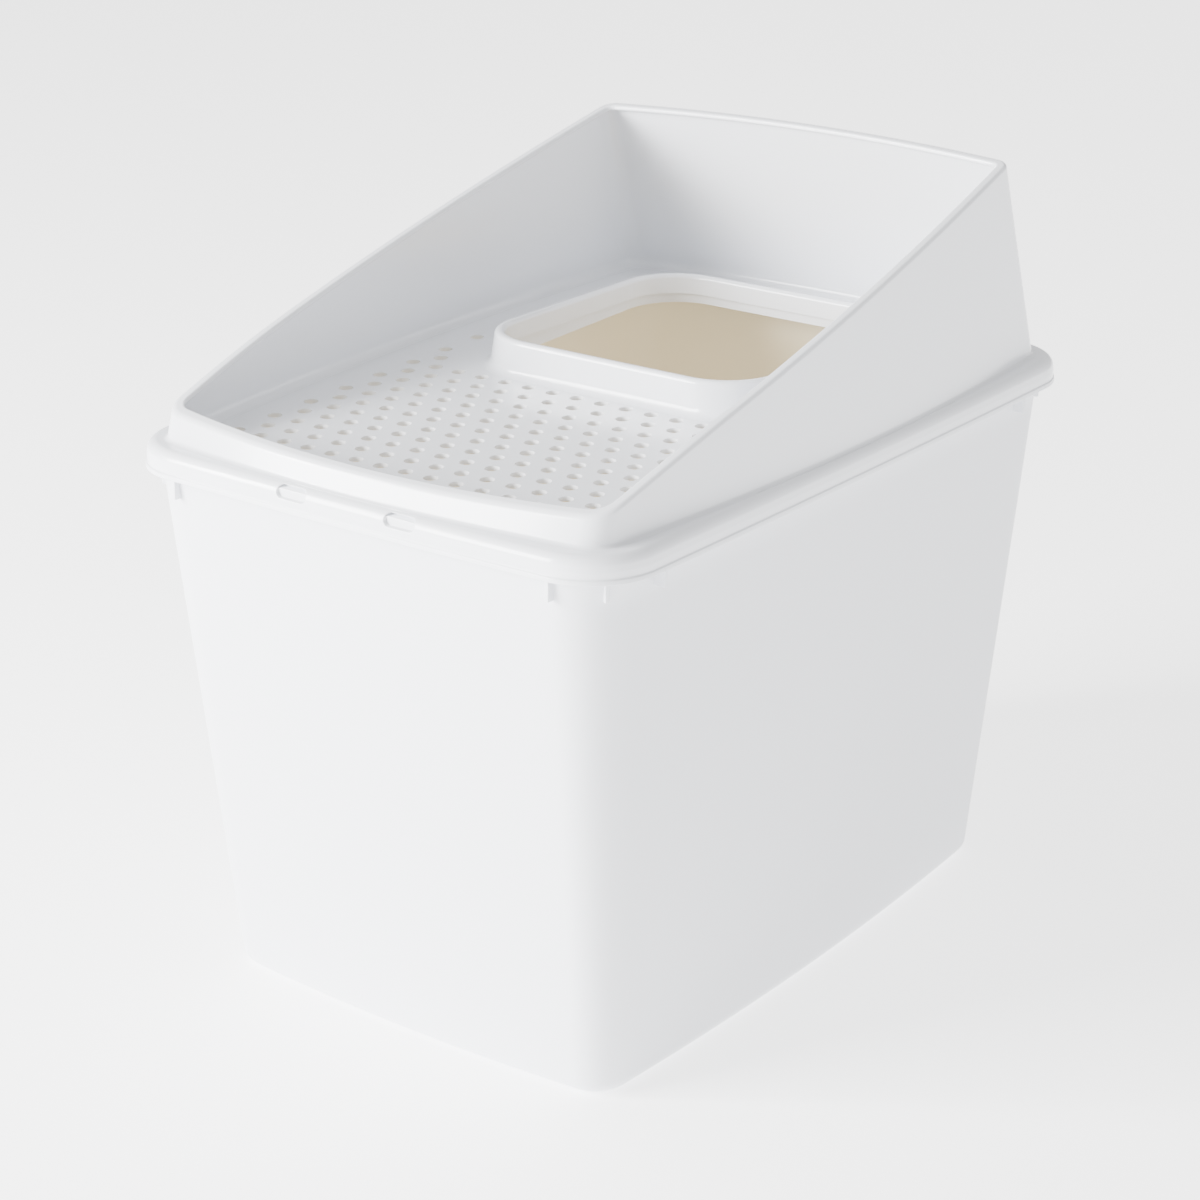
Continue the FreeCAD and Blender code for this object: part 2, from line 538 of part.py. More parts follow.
def slot_sketch(body, name, side):
    """Slot outline with round ends, in a plane parallel to the front; side is 1 or -1."""
    sketch = new_sketch(body, name, "XZ_Plane", SKIRT_Y)
    middle = value("Dim.slot_place") * side
    half_flat = (value("Dim.slot_length") - value("Dim.slot_height")) / 2
    radius = value("Dim.slot_height") / 2
    level = value(f"{LEDGE} - Dim.slot_drop") - radius
    right = FreeCAD.Vector(middle + half_flat, level, 0)
    left = FreeCAD.Vector(middle - half_flat, level, 0)
    rise = FreeCAD.Vector(0, radius, 0)
    normal = FreeCAD.Vector(0, 0, 1)
    quarter = math.pi / 2
    sketch.addGeometry(Part.LineSegment(left - rise, right - rise), False)
    sketch.addGeometry(Part.ArcOfCircle(Part.Circle(right, normal, radius), -quarter, quarter), False)
    sketch.addGeometry(Part.LineSegment(right + rise, left + rise), False)
    sketch.addGeometry(Part.ArcOfCircle(Part.Circle(left, normal, radius), quarter, 3 * quarter), False)
    for edge in range(4):
        sketch.addConstraint(Sketcher.Constraint("Tangent", edge, 2, (edge + 1) % 4, 1))
    sketch.addConstraint(Sketcher.Constraint("Horizontal", 0))
    ends = ((1, "Dim.slot_length / 2 - Dim.slot_height / 2"), (3, "Dim.slot_height / 2 - Dim.slot_length / 2"))
    for arc, reach in ends:
        drive(sketch, "DistanceX", -1, 1, arc, 3, by=f"{side} * Dim.slot_place + {reach}")
    drive(sketch, "DistanceY", -1, 1, 1, 3, by=f"{LEDGE} - Dim.slot_drop - Dim.slot_height / 2")
    drive(sketch, "Radius", 1, by="Dim.slot_height / 2")
    return sketch


def make_hood():
    """Hood: skirt, ledge and splash wall, with a core taken out below the thick crest."""
    shell = new_body("hood_shell")
    sections = [skirt_outline(shell, "skirt_foot", SKIRT_FOOT, "0")]
    for number, (drop, narrow) in enumerate(reversed(round_edge("Dim.shoulder"))):
        sections.append(skirt_outline(shell, f"shoulder_{number}", f"{LEDGE} - {drop}", f"({narrow})"))
    loft(shell, "skirt_plug", sections)
    below = f"({SKIRT_FOOT} - Dim.skirt_wall)"
    under = f"({LEDGE} - Dim.skirt_wall)"
    loft(shell, "skirt_hollow", [skirt_outline(shell, "skirt_hollow_foot", below, "Dim.skirt_wall"),
                                 skirt_outline(shell, "skirt_hollow_top", under, "Dim.skirt_wall")], grows=False)
    wall_loft(shell, "wall_plug", "0")
    cut_above_crest(shell, "crest", "0")
    wall_loft(shell, "hood_mouth", "Dim.crest_width", below="Dim.hood_wall", grows=False)
    for side in (1, -1):
        name = "slot_right" if side == 1 else "slot_left"
        pocket(shell, name, slot_sketch(shell, name + "_outline", side), "2 * Dim.slot_depth")
    core = new_body("hood_core")
    wall_loft(core, "core_plug", "Dim.hood_wall", below="Dim.hood_wall")
    cut_above_crest(core, "core_crest", "Dim.crest_depth")
    hood = doc.addObject("Part::Cut", "hood")
    hood.Label = "hood"
    hood.Base = shell
    hood.Tool = core
    doc.recompute()
    return hood


# ---- deck ----------------------------------------------------------------------------------------------

ROW_PITCH = "(Dim.hole_pitch * sqrt(3) / 2)"
FIRST_ROW = f"(Dim.hole_front - {WALL_Y} + Dim.wall_shift + Dim.hood_wall)"


def cut_beyond_slope(body, name, level, towards):
    """Cut away what is above or below a plane that falls to the front at the deck's slope."""
    sketch = new_sketch(body, name + "_outline", "YZ_Plane")
    ends = [(f"-{FAR}", f"({level} - Dim.deck_slope * {FAR})"), (FAR, f"({level} + Dim.deck_slope * {FAR})")]
    far_level = f"({level} + {towards} * {FAR})"
    near = [FreeCAD.Vector(value(y), value(z), 0) for y, z in ends]
    away = [FreeCAD.Vector(point.x, value(far_level), 0) for point in near]
    loop = [near[0], near[1], away[1], away[0]]
    for index in range(4):
        sketch.addGeometry(Part.LineSegment(loop[index], loop[(index + 1) % 4]), False)
    for index in range(4):
        sketch.addConstraint(Sketcher.Constraint("Coincident", index, 2, (index + 1) % 4, 1))
    sketch.addConstraint(Sketcher.Constraint("Vertical", 1))
    sketch.addConstraint(Sketcher.Constraint("Horizontal", 2))
    sketch.addConstraint(Sketcher.Constraint("Vertical", 3))
    for end, (y, z) in enumerate(ends, start=1):
        drive(sketch, "DistanceX", -1, 1, 0, end, by=y)
        drive(sketch, "DistanceY", -1, 1, 0, end, by=z)
    drive(sketch, "DistanceY", -1, 1, 2, 1, by=far_level)
    return pocket(body, name, sketch, FAR)


def hole_pattern(body, name, first_x, first_y, columns, column_step, rows, row_step):
    """One hole through the deck, repeated in columns and rows; a spacing of -1 means the even one."""
    sketch = new_sketch(body, name + "_outline", "XY_Plane", DECK_TOP)
    start = FreeCAD.Vector(value(first_x), value(first_y), 0)
    sketch.addGeometry(Part.Circle(start, FreeCAD.Vector(0, 0, 1), value("Dim.hole_size") / 2), False)
    drive(sketch, "DistanceX", -1, 1, 0, 3, by=first_x)
    drive(sketch, "DistanceY", -1, 1, 0, 3, by=first_y)
    drive(sketch, "Diameter", 0, by="Dim.hole_size")
    hole = pocket(body, name, sketch, "Dim.opening")
    pattern = body.newObject("PartDesign::LinearPattern", name + "_pattern")
    pattern.Originals = [hole]
    pattern.Direction = (plane(body, "X_Axis"), [""])
    pattern.Mode = "Spacing"
    pattern.Occurrences = columns
    pattern.setExpression("Offset", column_step)
    if rows > 1:
        pattern.Direction2 = (plane(body, "Y_Axis"), [""])
        pattern.Mode2 = "Spacing"
        pattern.Occurrences2 = rows
        pattern.Spacings2 = [-1.0] * (rows - 1)
        pattern.setExpression("Offset2", row_step)
    body.Tip = pattern
    return settle(pattern, False)


def make_deck():
    """Perforated step deck with the raised entry collar."""
    body = new_body("deck")
    wall_loft(body, "deck_plug", "Dim.hood_wall", below="Dim.hood_wall")
    cut_beyond_slope(body, "deck_face", DECK_TOP, 1)
    collar_foot = rounded_square(body, "collar_foot", f"{DECK_TOP} - Dim.deck_plate",
                                 "(Dim.opening + 2 * Dim.collar_foot)", "Dim.collar_foot_corner", OPENING_Y)
    collar_top = rounded_square(body, "collar_top", COLLAR_TOP, "(Dim.opening + 2 * Dim.collar_lip)",
                                "(Dim.opening_corner + Dim.collar_lip)", OPENING_Y)
    collar = loft(body, "collar", [collar_foot, collar_top])

    def at_collar_foot(point):
        face = value(DECK_TOP) + value("Dim.deck_slope") * point.y
        reach = value("Dim.opening") / 2 + value("Dim.collar_foot") + 1
        near = max(abs(point.x), abs(point.y - value(OPENING_Y))) < reach
        return near and abs(point.z - face) < 0.05

    fillet(body, "collar_foot_round", collar, "Dim.collar_fillet", at_collar_foot, grows=True)
    cut_beyond_slope(body, "deck_underside", f"({DECK_TOP} - Dim.deck_plate)", -1)
    low = f"({DECK_TOP} - Dim.opening)"
    step = f"({COLLAR_TOP} - Dim.collar_face)"
    wide = ("(Dim.opening + 2 * Dim.collar_skin)", "(Dim.opening_corner + Dim.collar_skin)", OPENING_Y)
    narrow = ("Dim.opening", "Dim.opening_corner", OPENING_Y)
    loft(body, "under_collar", [rounded_square(body, "under_collar_low", low, *wide),
                                rounded_square(body, "under_collar_high", step, *wide)], grows=False)
    mouth = loft(body, "entry", [rounded_square(body, "entry_low", low, *narrow),
                                 rounded_square(body, "entry_high", f"({COLLAR_TOP} + 1)", *narrow)],
                 grows=False)
    top = value(COLLAR_TOP)
    fillet(body, "collar_top_round", mouth, "Dim.collar_round", lambda point: abs(point.z - top) < 0.01)

    inside = value(f"{WALL_X} - Dim.wall_foot_side_bow - Dim.hood_wall - Dim.hole_side")
    pitch, row_pitch = value("Dim.hole_pitch"), value(ROW_PITCH)
    half_columns = int(inside / pitch + 0.5)
    collar_front = value(f"{OPENING_Y} - Dim.opening / 2 - Dim.collar_foot - Dim.hole_clear")
    rows = int((collar_front - value(FIRST_ROW)) / row_pitch) + 1
    collar_back = value(f"{OPENING_Y} + Dim.opening / 2 - Dim.opening_corner")
    odd_x = f"(-Dim.hole_pitch * {half_columns - 1})"
    even_x = f"(-Dim.hole_pitch * ({half_columns} - 0.5))"
    double_row = f"(2 * {ROW_PITCH})"

    def row_place(number):
        return f"({FIRST_ROW} + {number} * {ROW_PITCH})"

    hole_pattern(body, "odd_holes", odd_x, row_place(0), 2 * half_columns - 1, "Dim.hole_pitch",
                 (rows + 1) // 2, double_row)
    hole_pattern(body, "even_holes", even_x, row_place(1), 2 * half_columns, "Dim.hole_pitch",
                 rows // 2, double_row)
    outer_x, corner_row = (odd_x, even_x) if rows % 2 == 0 else (even_x, odd_x)
    hole_pattern(body, "corner_holes", outer_x, row_place(rows), 2, f"(-2 * {outer_x})", 1, double_row)
    strip_rows = int((collar_back - value(row_place(rows + 1))) / (2 * row_pitch)) + 1
    return hole_pattern(body, "side_holes", corner_row, row_place(rows + 1), 2, f"(-2 * {corner_row})",
                        strip_rows, double_row)


# ---- build, check and write ----------------------------------------------------------------------------

NODES = ("tub", "inner_bin", "hood", "deck")

make_tub()
make_bin()
make_hood()
make_deck()
doc.recompute()

for thing in doc.Objects:
    if "Invalid" in thing.State or "Error" in thing.State:
        raise RuntimeError(f"{thing.Name} failed: {thing.State}")
os.makedirs("parts", exist_ok=True)
for node in NODES:
    shape = doc.getObject(node).Shape
    if shape.isNull() or not shape.isValid() or len(shape.Solids) != 1:
        raise RuntimeError(f"{node} isn't one valid solid")
    box = shape.BoundBox
    print(f"{node}: {box.XLength:.1f} x {box.YLength:.1f} x {box.ZLength:.1f}, {shape.Volume / 1000:.0f} cm3")
    shape.exportStep(f"parts/{node}.step")
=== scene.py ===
import math

import bpy
import numpy as np
from mathutils import Matrix, Vector


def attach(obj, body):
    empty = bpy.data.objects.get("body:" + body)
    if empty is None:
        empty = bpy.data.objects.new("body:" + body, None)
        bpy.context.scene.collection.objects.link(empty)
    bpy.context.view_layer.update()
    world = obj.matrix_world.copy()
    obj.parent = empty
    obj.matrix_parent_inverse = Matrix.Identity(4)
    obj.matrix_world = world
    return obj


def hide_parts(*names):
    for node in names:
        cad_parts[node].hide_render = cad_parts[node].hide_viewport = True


# Top-entry cat litter box: deep white tub, beige inner bin and a white lid. Lengths are in millimetres
# until a mesh is made. The floor is Z = 0, the front is -Y.

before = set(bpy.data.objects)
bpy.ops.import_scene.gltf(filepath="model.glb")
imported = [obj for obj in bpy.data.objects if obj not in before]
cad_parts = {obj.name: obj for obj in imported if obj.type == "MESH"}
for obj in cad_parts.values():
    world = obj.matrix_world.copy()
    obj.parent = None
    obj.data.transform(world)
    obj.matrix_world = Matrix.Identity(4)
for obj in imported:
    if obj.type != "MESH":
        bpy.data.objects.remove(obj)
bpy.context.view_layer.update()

MM = 0.001
QUARTER = math.pi / 2

# ---- sizes ---------------------------------------------------------------------------------------------

TUB_HEIGHT = 367.3
TUB_HALF = (182.3, 272.6)
TUB_FOOT_IN = (16.4, 36.3)
TUB_CORNER = (36.4, 26.0)
SIDE_BOW = (2.5, 9.1)
END_BOW = (4.6, 7.5)
TUB_WALL = 3.0
FOOT_ROUND = 11.0
RIM_PLATE = 2.4
RIM_UNDER = TUB_HEIGHT - RIM_PLATE
RIM_REACH = (8.8, 2.3)
FIN_DROP = 14.4
FIN_HALF = 1.5
FIN_EDGE = 0.8
END_FIN_X = 147.0
END_FIN_REACH = -0.4
END_FIN_HALF = 4.0
SIDE_FIN_Y = 211.6
SIDE_FIN_REACH = 5.2
SIDE_FIN_HALF = 5.0
CORNER_FIN_TURN = math.radians(33.0)
CORNER_FIN_REACH = 2.5
CORNER_FIN_HALF = 3.0
LUG_HALF = (10.5, 1.1)
LUG_BACK = 1.4
LUG_RISE = 5.3
LUG_EDGE = 0.6
BIN_FOOT = 8.0
BIN_TOP = 369.8
BIN_INSET = 7.0
BIN_WALL = 2.5
BIN_ROUND = 9.0
BIN_FLANGE = 2.2
BIN_REACH = (4.0, -1.6)
LEDGE = 376.7
SKIRT_FOOT = 359.4
SKIRT_HALF = (195.7, 279.5)
SKIRT_CORNER = 47.4
SKIRT_FLARE = 2.2
SKIRT_WALL = 3.0
SHOULDER = 6.0
BEAD_TOP = 3.9
BEAD_STEP = 0.65
BEAD_RUN_OUT = 4.0
WALL_HALF = (187.2, 268.3)
WALL_SHIFT = -1.3
WALL_CORNER = (20.0, 12.0)
WALL_SIDE_BOW = (13.8, 7.6)
WALL_END_BOW = (12.8, 12.5)
SIDE_LEAN = 0.081
FRONT_LEAN = 0.293
BACK_LEAN = 0.321
HOOD_WALL = 3.0
CREST_WIDTH = 7.0
CREST_DEPTH = 4.0
CREST_RADII = (0, 2.4, 2.0, 1.4, 0.6, 0)
LIP_RISE = 14.0
CREST_SLOPE = 0.257
FALL_SLOPE = 0.31
FALL_LENGTH = 97.5
CREST_BEND = 1600.0
WALL_REACH = LIP_RISE + 2 * WALL_HALF[1] * CREST_SLOPE
DECK_TOP = 380.5
DECK_SLOPE = 0.027
DECK_LAP = 0.03
WALL_FOOT_FILLET = 2.2
DECK_FILLET = 7.0
HEM = 0.6
SLOT_PLACE = 42.5
SLOT_LENGTH = 23.0
SLOT_HEIGHT = 7.4
SLOT_TOP = 375.7
SLOT_DEPTH = (3.9, 9.0)
SLOT_STEP = 373.7
SLOT_EDGE = 0.5

# ---- outlines ------------------------------------------------------------------------------------------


def arc_table(half, bow, corner):
    """Centres, radii, first and last angles of the eight arcs of a bowed outline, for arrays of outlines.

    A side that bulges by b over a half chord c has the radius (c^2 + b^2) / 2b. A corner's centre is as far
    inside both neighbouring arcs as the corner's own radius.
    """
    side_radius = ((half[1] - bow[1]) ** 2 + bow[0] ** 2) / (2 * bow[0])
    end_radius = ((half[0] - bow[0]) ** 2 + bow[1] ** 2) / (2 * bow[1])
    side_back, end_back = side_radius - half[0], end_radius - half[1]
    near, far = side_radius - corner, end_radius - corner
    span = np.hypot(side_back, end_back)
    along = (near ** 2 - far ** 2 + span ** 2) / (2 * span)
    across = np.sqrt(near ** 2 - along ** 2)
    centre_x = -side_back + (along * side_back + across * end_back) / span
    centre_y = (-along * end_back + across * side_back) / span
    side_turn = np.arctan2(centre_y, centre_x + side_back)
    end_turn = np.arctan2(centre_y + end_back, centre_x)
    zero = np.zeros_like(near)
    middle_x, middle_y, radius, first, last = [], [], [], [], []
    for quarter in range(4):
        start = quarter * QUARTER
        cosine, sine = round(math.cos(start)), round(math.sin(start))
        if quarter % 2 == 0:
            turn, radius_here, distance = side_turn, side_radius, side_back
            centre = (centre_x, centre_y)
            corner_ends = (side_turn, end_turn)
        else:
            turn, radius_here, distance = QUARTER - end_turn, end_radius, end_back
            centre = (centre_y, centre_x)
            corner_ends = (QUARTER - end_turn, QUARTER - side_turn)
        middle_x += [-distance * cosine, centre[0] * cosine - centre[1] * sine]
        middle_y += [-distance * sine, centre[0] * sine + centre[1] * cosine]
        radius += [radius_here, corner + zero]
        first += [start - turn, start + corner_ends[0]]
        last += [start + turn, start + corner_ends[1]]
    return [np.stack(column, axis=-1) for column in (middle_x, middle_y, radius, first, last)]


def outline(half, bow, corner, shift, around):
    """Points (x, y) round bowed outlines: around counts the arcs, 0 to 8, anticlockwise from +X."""
    shape = np.broadcast_shapes(*[np.shape(part) for part in (*half, *bow, corner, shift)])
    half = [np.broadcast_to(part, shape).astype(float) for part in half]
    bow = [np.broadcast_to(part, shape).astype(float) for part in bow]
    corner = np.broadcast_to(corner, shape).astype(float)
    middle_x, middle_y, radius, first, last = arc_table(half, bow, corner)
    arc = np.floor(around).astype(int) % 8
    share = around - np.floor(around)
    angle = first[..., arc] + share * (last - first)[..., arc]
    x = middle_x[..., arc] + radius[..., arc] * np.cos(angle)
    y = middle_y[..., arc] + radius[..., arc] * np.sin(angle)
    return x, y + np.broadcast_to(shift, shape)[..., None]


def columns(side_steps, corner_steps, extra=()):
    """Places round an outline: even steps along each arc, with extra places merged in."""
    steps = (side_steps, corner_steps)
    places = [arc + np.arange(steps[arc % 2]) / steps[arc % 2] for arc in range(8)]
    return np.unique(np.round(np.concatenate([*places, np.asarray(extra, float)]), 5))


def mix(pair, share):
    """Value between the two of a pair."""
    return pair[0] + (pair[1] - pair[0]) * share


def tub_ring(level, inset, around, reach=None):
    """Tub's outline at a level, in by an inset, or out by a pair of reaches in X and Y."""
    down = 1 - level / TUB_HEIGHT
    out_x, out_y = (-inset, -inset) if reach is None else reach
    half = (TUB_HALF[0] - TUB_FOOT_IN[0] * down + out_x, TUB_HALF[1] - TUB_FOOT_IN[1] * down + out_y)
    bow = (mix(SIDE_BOW, down), mix(END_BOW, down))
    corner = mix(TUB_CORNER, down) + (out_x + out_y) / 2
    return outline(half, bow, corner, 0.0, around)


def skirt_ring(level, inset, around):
    """Skirt's outline at a level: it narrows by the flare up to the ledge."""
    narrow = SKIRT_FLARE * (level - SKIRT_FOOT) / (LEDGE - SKIRT_FOOT) + inset
    half = (SKIRT_HALF[0] - narrow, SKIRT_HALF[1] - narrow)
    return outline(half, (SIDE_BOW[0], END_BOW[0]), SKIRT_CORNER - narrow, 0.0, around)


def wall_ring(up, inset, around):
    """Splash wall's outline at a height above the ledge: all four sides lean inwards."""
    share = up / WALL_REACH
    half = (WALL_HALF[0] - SIDE_LEAN * up - inset,
            WALL_HALF[1] - (FRONT_LEAN + BACK_LEAN) / 2 * up - inset)
    bow = (mix(WALL_SIDE_BOW, share), mix(WALL_END_BOW, share))
    corner = mix(WALL_CORNER, share) - inset
    shift = WALL_SHIFT + (FRONT_LEAN - BACK_LEAN) / 2 * up
    return outline(half, bow, corner, shift, around)


def crest_level(y):
    """Level of the crest over y: two slopes that meet in a large arc."""
    lip_front = WALL_HALF[1] - WALL_SHIFT - FRONT_LEAN * LIP_RISE
    along = y + lip_front - FALL_LENGTH
    bend_level = LEDGE + LIP_RISE + FALL_SLOPE * FALL_LENGTH
    half_arc = CREST_BEND * (FALL_SLOPE - CREST_SLOPE) / 2
    slope = np.where(along < 0, FALL_SLOPE, CREST_SLOPE)
    sag = np.clip(half_arc - np.abs(along), 0, None) ** 2 / (2 * CREST_BEND)
    return bend_level + slope * along - sag


def leaning_point(inset, drop, around):
    """Points of the splash wall, in by an inset, that lie below the crest by a drop.

    Each stands on the straight line from the wall's foot to its top, where that line meets the crest.
    """
    foot_x, foot_y = wall_ring(np.zeros_like(inset), inset, around)
    top_x, top_y = wall_ring(np.full_like(inset, WALL_REACH), inset, around)
    up = np.full(foot_x.shape, WALL_REACH / 2)
    for _ in range(24):
        y = foot_y + (top_y - foot_y) * up / WALL_REACH
        up = crest_level(y) - drop[:, None] - LEDGE
    share = up / WALL_REACH
    return foot_x + (top_x - foot_x) * share, foot_y + (top_y - foot_y) * share, LEDGE + up


def wall_point(up, inset, around):
    """Points of the splash wall at a height above the ledge, on its straight lines."""
    foot_x, foot_y = wall_ring(np.zeros_like(inset), inset, around)
    top_x, top_y = wall_ring(np.full_like(inset, WALL_REACH), inset, around)
    share = up / WALL_REACH
    return foot_x + (top_x - foot_x) * share, foot_y + (top_y - foot_y) * share, LEDGE + up


def softened(points, radii, steps=5, hold=0.35):
    """Profile with its corners rounded: each corner gives an arc, with one more point on either side."""
    made = []
    for index, (point, radius) in enumerate(zip(points, radii)):
        here = np.array(point, float)
        if radius <= 0 or index in (0, len(points) - 1):
            made.append(here)
            continue
        before = np.array(points[index - 1], float) - here
        after = np.array(points[index + 1], float) - here
        before_length, after_length = np.linalg.norm(before), np.linalg.norm(after)
        before, after = before / before_length, after / after_length
        half_angle = math.acos(np.clip(np.dot(before, after), -1, 1)) / 2
        cut = radius / math.tan(half_angle)
        centre = here + (before + after) / np.linalg.norm(before + after) * radius / math.sin(half_angle)
        first, last = here + before * cut - centre, here + after * cut - centre
        sweep = math.pi - 2 * half_angle
        side = 1 if first[0] * last[1] - first[1] * last[0] > 0 else -1
        turn = math.atan2(first[1], first[0]) + side * np.linspace(0, sweep, steps + 1)
        made.append(here + before * min(cut + hold, before_length / 2))
        made += list(centre + radius * np.stack([np.cos(turn), np.sin(turn)], axis=-1))
        made.append(here + after * min(cut + hold, after_length / 2))
    return np.array(made)


# ---- meshes --------------------------------------------------------------------------------------------


def make_mesh(name, points, faces, body, material):
    """Smooth mesh from points in millimetres and arrays of corner numbers, riding a body."""
    mesh = bpy.data.meshes.new(name)
    mesh.from_pydata((points * MM).tolist(), [], [face.tolist() for face in faces])
    mesh.update()
    mesh.polygons.foreach_set("use_smooth", np.ones(len(mesh.polygons), bool))
    mesh.materials.append(material)
    thing = bpy.data.objects.new(name, mesh)
    bpy.context.scene.collection.objects.link(thing)
    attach(thing, body)
    return thing


def tube_faces(rows, count, closed):
    """Quads between neighbouring rows of a grid whose columns close on themselves."""
    row = np.arange(rows if closed else rows - 1)[:, None]
    column = np.arange(count)[None, :]
    next_row, next_column = (row + 1) % rows, (column + 1) % count
    return np.stack([row * count + column, row * count + next_column,
                     next_row * count + next_column, next_row * count + column], axis=-1).reshape(-1, 4)


def ring_piece(name, x, y, z, body, slot, material):
    """Closed ring: a closed profile, one row per profile point, carried round an outline."""
    points = np.stack([x, y, z], axis=-1).reshape(-1, 3)
    return make_mesh(name, points, tube_faces(*x.shape, True), body, material)


def capped_tube(x, y, z, middle=(0, 0)):
    """Points and faces of rows that end in a pole at both ends, over a middle (x, y)."""
    rows, count = x.shape
    points = np.stack([x, y, z], axis=-1).reshape(-1, 3)
    poles = np.array([[*middle, z[0, 0]], [*middle, z[-1, 0]]])
    column = np.arange(count)
    following = (column + 1) % count
    first_pole, last_row = rows * count, (rows - 1) * count
    first_fan = np.stack([np.full(count, first_pole), following, column], axis=-1)
    last_fan = np.stack([np.full(count, first_pole + 1), last_row + column, last_row + following], axis=-1)
    faces = [*tube_faces(rows, count, False), *first_fan, *last_fan]
    return np.concatenate([points, poles]), faces


def vessel_piece(name, x, y, z, body, slot, material):
    """Closed vessel: rows from the middle of its underside to the middle of its floor, each end a pole."""
    points, faces = capped_tube(x, y, z)
    return make_mesh(name, points, faces, body, material)


# ---- materials -----------------------------------------------------------------------------------------


def group_socket(tree, name, kind, direction, default=None):
    """One input or output of a node group."""
    socket = tree.interface.new_socket(name=name, in_out=direction, socket_type=kind)
    if default is not None:
        socket.default_value = default
    return socket


def add(tree, kind, **settings):
    """Node with settings."""
    node = tree.nodes.new(kind)
    for key, setting in settings.items():
        setattr(node, key, setting)
    return node


def noise(tree, place, scale, detail, roughness=0.5):
    """Noise over a place."""
    node = add(tree, "ShaderNodeTexNoise")
    node.inputs["Scale"].default_value = scale
    node.inputs["Detail"].default_value = detail
    node.inputs["Roughness"].default_value = roughness
    tree.links.new(place, node.inputs["Vector"])
    return node.outputs["Fac"]


def spread(tree, value, low, high, from_low=0.3, from_high=0.7):
    """Value stretched from one range to another."""
    node = add(tree, "ShaderNodeMapRange")
    node.inputs["From Min"].default_value = from_low
    node.inputs["From Max"].default_value = from_high
    node.inputs["To Min"].default_value = low
    node.inputs["To Max"].default_value = high
    tree.links.new(value, node.inputs["Value"])
    return node.outputs["Result"]


def plastic_group():
    """Moulded plastic: a fine grain in the height, faint flow marks in the colour and the roughness."""
    tree = bpy.data.node_groups.new("moulded plastic", "ShaderNodeTree")
    group_socket(tree, "Colour", "NodeSocketColor", "INPUT", (0.8, 0.8, 0.8, 1))
    group_socket(tree, "Gloss", "NodeSocketFloat", "INPUT", 0.3)
    group_socket(tree, "Grain", "NodeSocketFloat", "INPUT", 1.0)
    group_socket(tree, "Base Color", "NodeSocketColor", "OUTPUT")
    group_socket(tree, "Roughness", "NodeSocketFloat", "OUTPUT")
    group_socket(tree, "Height", "NodeSocketFloat", "OUTPUT")
    start, end = add(tree, "NodeGroupInput"), add(tree, "NodeGroupOutput")
    place = add(tree, "ShaderNodeTexCoord").outputs["Object"]
    grain = noise(tree, place, 1400.0, 3.0, 0.6)
    flow = noise(tree, place, 3.2, 2.0)
    cloud = noise(tree, place, 22.0, 3.0)
    shade = add(tree, "ShaderNodeMix", data_type="RGBA", blend_type="MULTIPLY")
    shade.inputs["Factor"].default_value = 1.0
    tree.links.new(start.outputs["Colour"], shade.inputs["A"])
    tree.links.new(spread(tree, flow, 0.985, 1.0), shade.inputs["B"])
    tree.links.new(shade.outputs["Result"], end.inputs["Base Color"])
    gloss = add(tree, "ShaderNodeMath", operation="MULTIPLY")
    tree.links.new(start.outputs["Gloss"], gloss.inputs[0])
    tree.links.new(spread(tree, cloud, 0.88, 1.12), gloss.inputs[1])
    tree.links.new(gloss.outputs[0], end.inputs["Roughness"])
    height = add(tree, "ShaderNodeMath", operation="MULTIPLY")
    tree.links.new(start.outputs["Grain"], height.inputs[0])
    tree.links.new(grain, height.inputs[1])
    tree.links.new(height.outputs[0], end.inputs["Height"])
    return tree


def dust_group():
    """Handling and dust: upward faces turn a little duller and greyer in soft patches."""
    tree = bpy.data.node_groups.new("light dust", "ShaderNodeTree")
    group_socket(tree, "Base Color", "NodeSocketColor", "INPUT", (0.8, 0.8, 0.8, 1))
    group_socket(tree, "Roughness", "NodeSocketFloat", "INPUT", 0.3)
    group_socket(tree, "Amount", "NodeSocketFloat", "INPUT", 0.1)
    group_socket(tree, "Base Color", "NodeSocketColor", "OUTPUT")
    group_socket(tree, "Roughness", "NodeSocketFloat", "OUTPUT")
    start, end = add(tree, "NodeGroupInput"), add(tree, "NodeGroupOutput")
    place = add(tree, "ShaderNodeTexCoord").outputs["Object"]
    split = add(tree, "ShaderNodeSeparateXYZ")
    tree.links.new(add(tree, "ShaderNodeNewGeometry").outputs["Normal"], split.inputs[0])
    facing = spread(tree, split.outputs["Z"], 0.0, 1.0, 0.4, 1.0)
    patches = spread(tree, noise(tree, place, 9.0, 4.0), 0.2, 1.0)
    both = add(tree, "ShaderNodeMath", operation="MULTIPLY")
    tree.links.new(facing, both.inputs[0])
    tree.links.new(patches, both.inputs[1])
    amount = add(tree, "ShaderNodeMath", operation="MULTIPLY")
    tree.links.new(both.outputs[0], amount.inputs[0])
    tree.links.new(start.outputs["Amount"], amount.inputs[1])
    shade = add(tree, "ShaderNodeMix", data_type="RGBA")
    shade.inputs["B"].default_value = (0.55, 0.54, 0.52, 1)
    tree.links.new(amount.outputs[0], shade.inputs["Factor"])
    tree.links.new(start.outputs["Base Color"], shade.inputs["A"])
    tree.links.new(shade.outputs["Result"], end.inputs["Base Color"])
    dull = add(tree, "ShaderNodeMath", operation="ADD")
    tree.links.new(amount.outputs[0], dull.inputs[0])
    tree.links.new(start.outputs["Roughness"], dull.inputs[1])
    tree.links.new(dull.outputs[0], end.inputs["Roughness"])
    return tree


PLASTIC, DUST = plastic_group(), dust_group()


